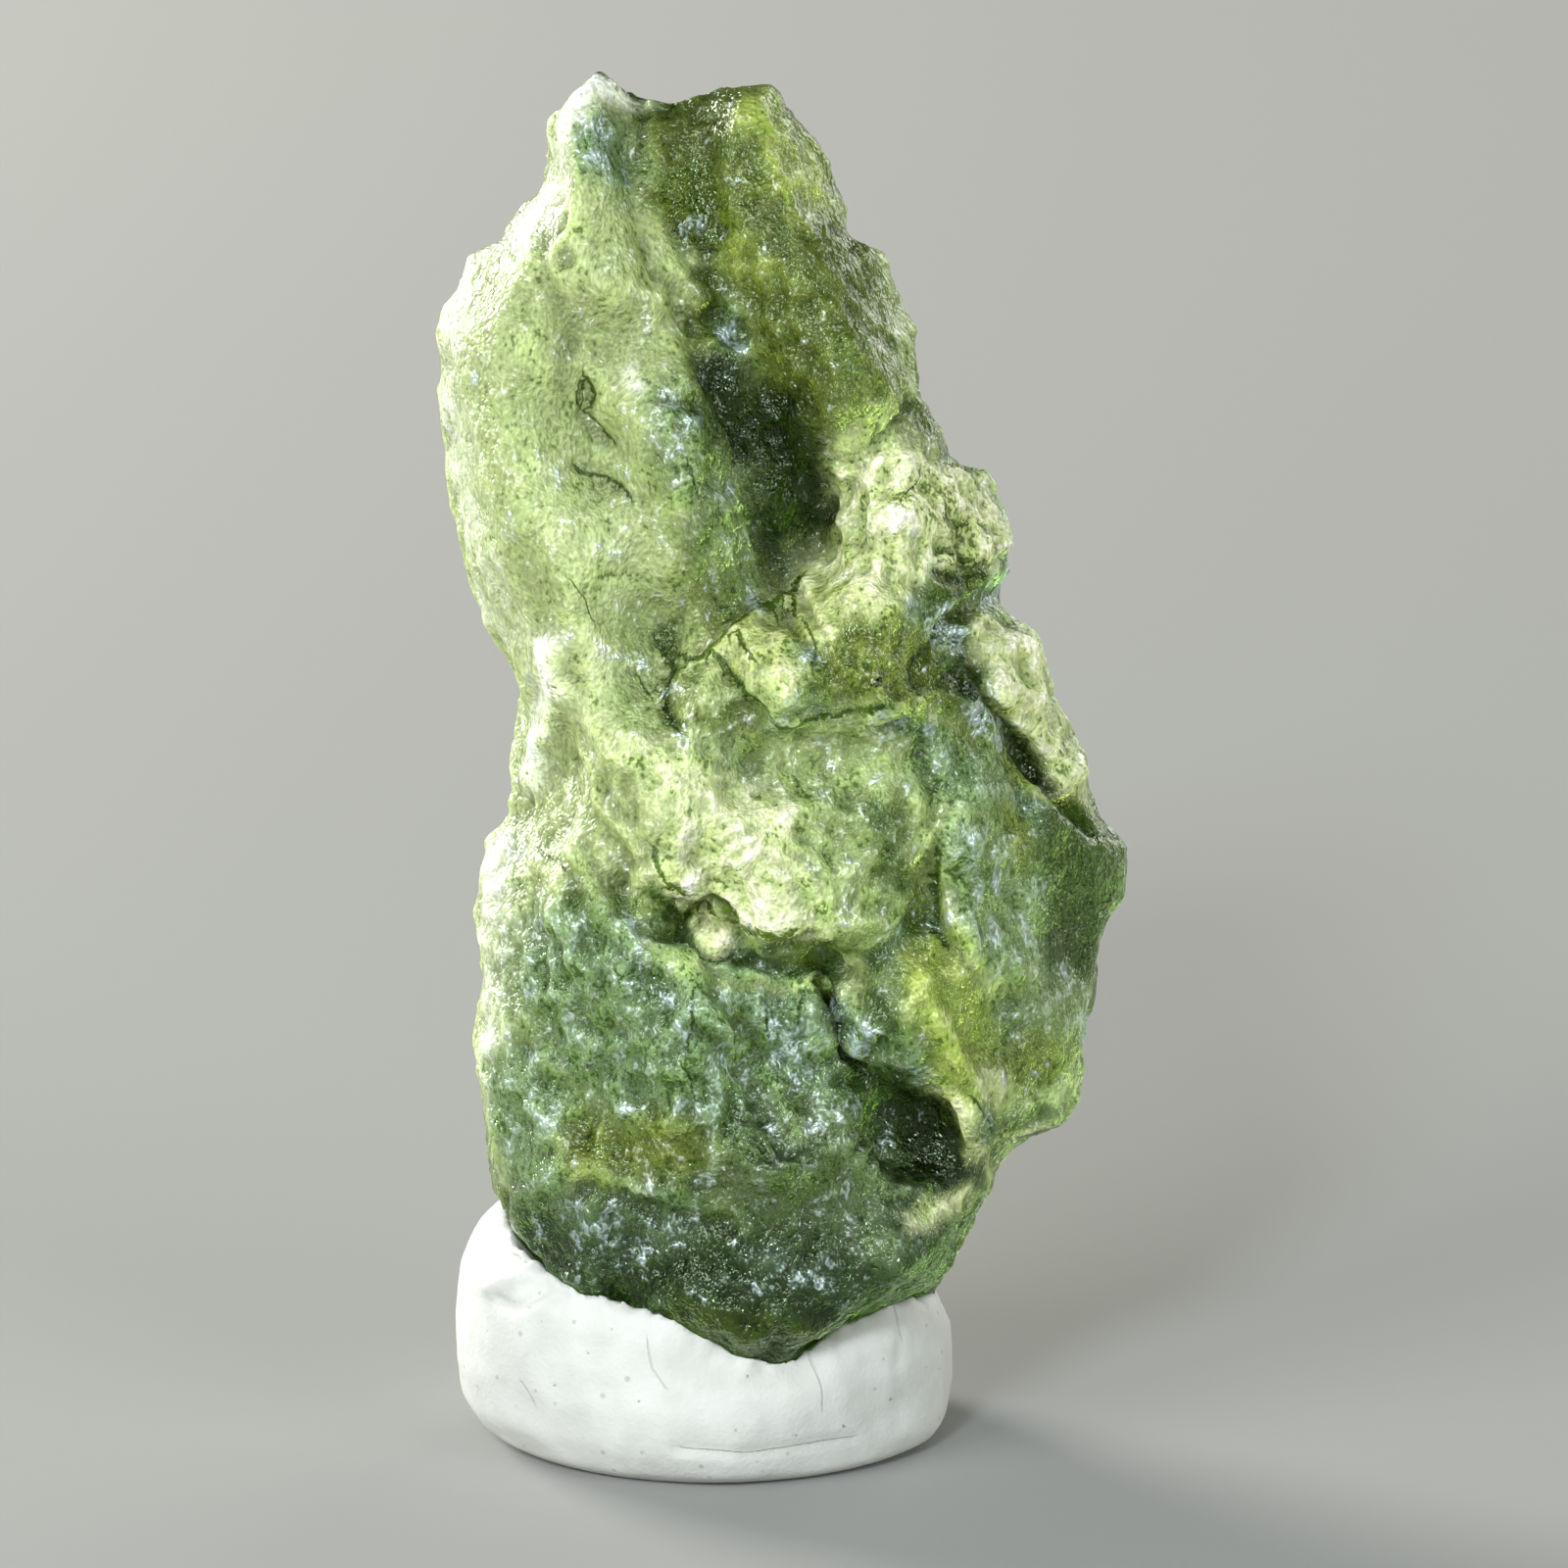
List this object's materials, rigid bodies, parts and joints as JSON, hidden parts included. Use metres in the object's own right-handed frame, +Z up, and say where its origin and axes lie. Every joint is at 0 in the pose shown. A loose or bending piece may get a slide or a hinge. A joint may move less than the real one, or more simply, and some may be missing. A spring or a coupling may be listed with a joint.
{
  "type": "moldavite on putty stand",
  "caption": "Natural moldavite, a rough upright lump of etched green glass with a cleft and ledges, standing in a low round lump of white mounting putty.",
  "frame": {"origin": "on the table, in the middle of the putty's flat base", "axes": "+Z up along the stone; the sculpted face of the stone looks towards -Y and +X is to its right"},
  "size_m": [0.0163, 0.0125, 0.0336],
  "materials": {
    "green_glass": "natural etched surface, satin, see-through",
    "white_putty": "matte, finger-pressed"
  },
  "bodies": {
    "root": {"moldavite": "green_glass", "putty": "white_putty"}
  },
  "joints": []
}
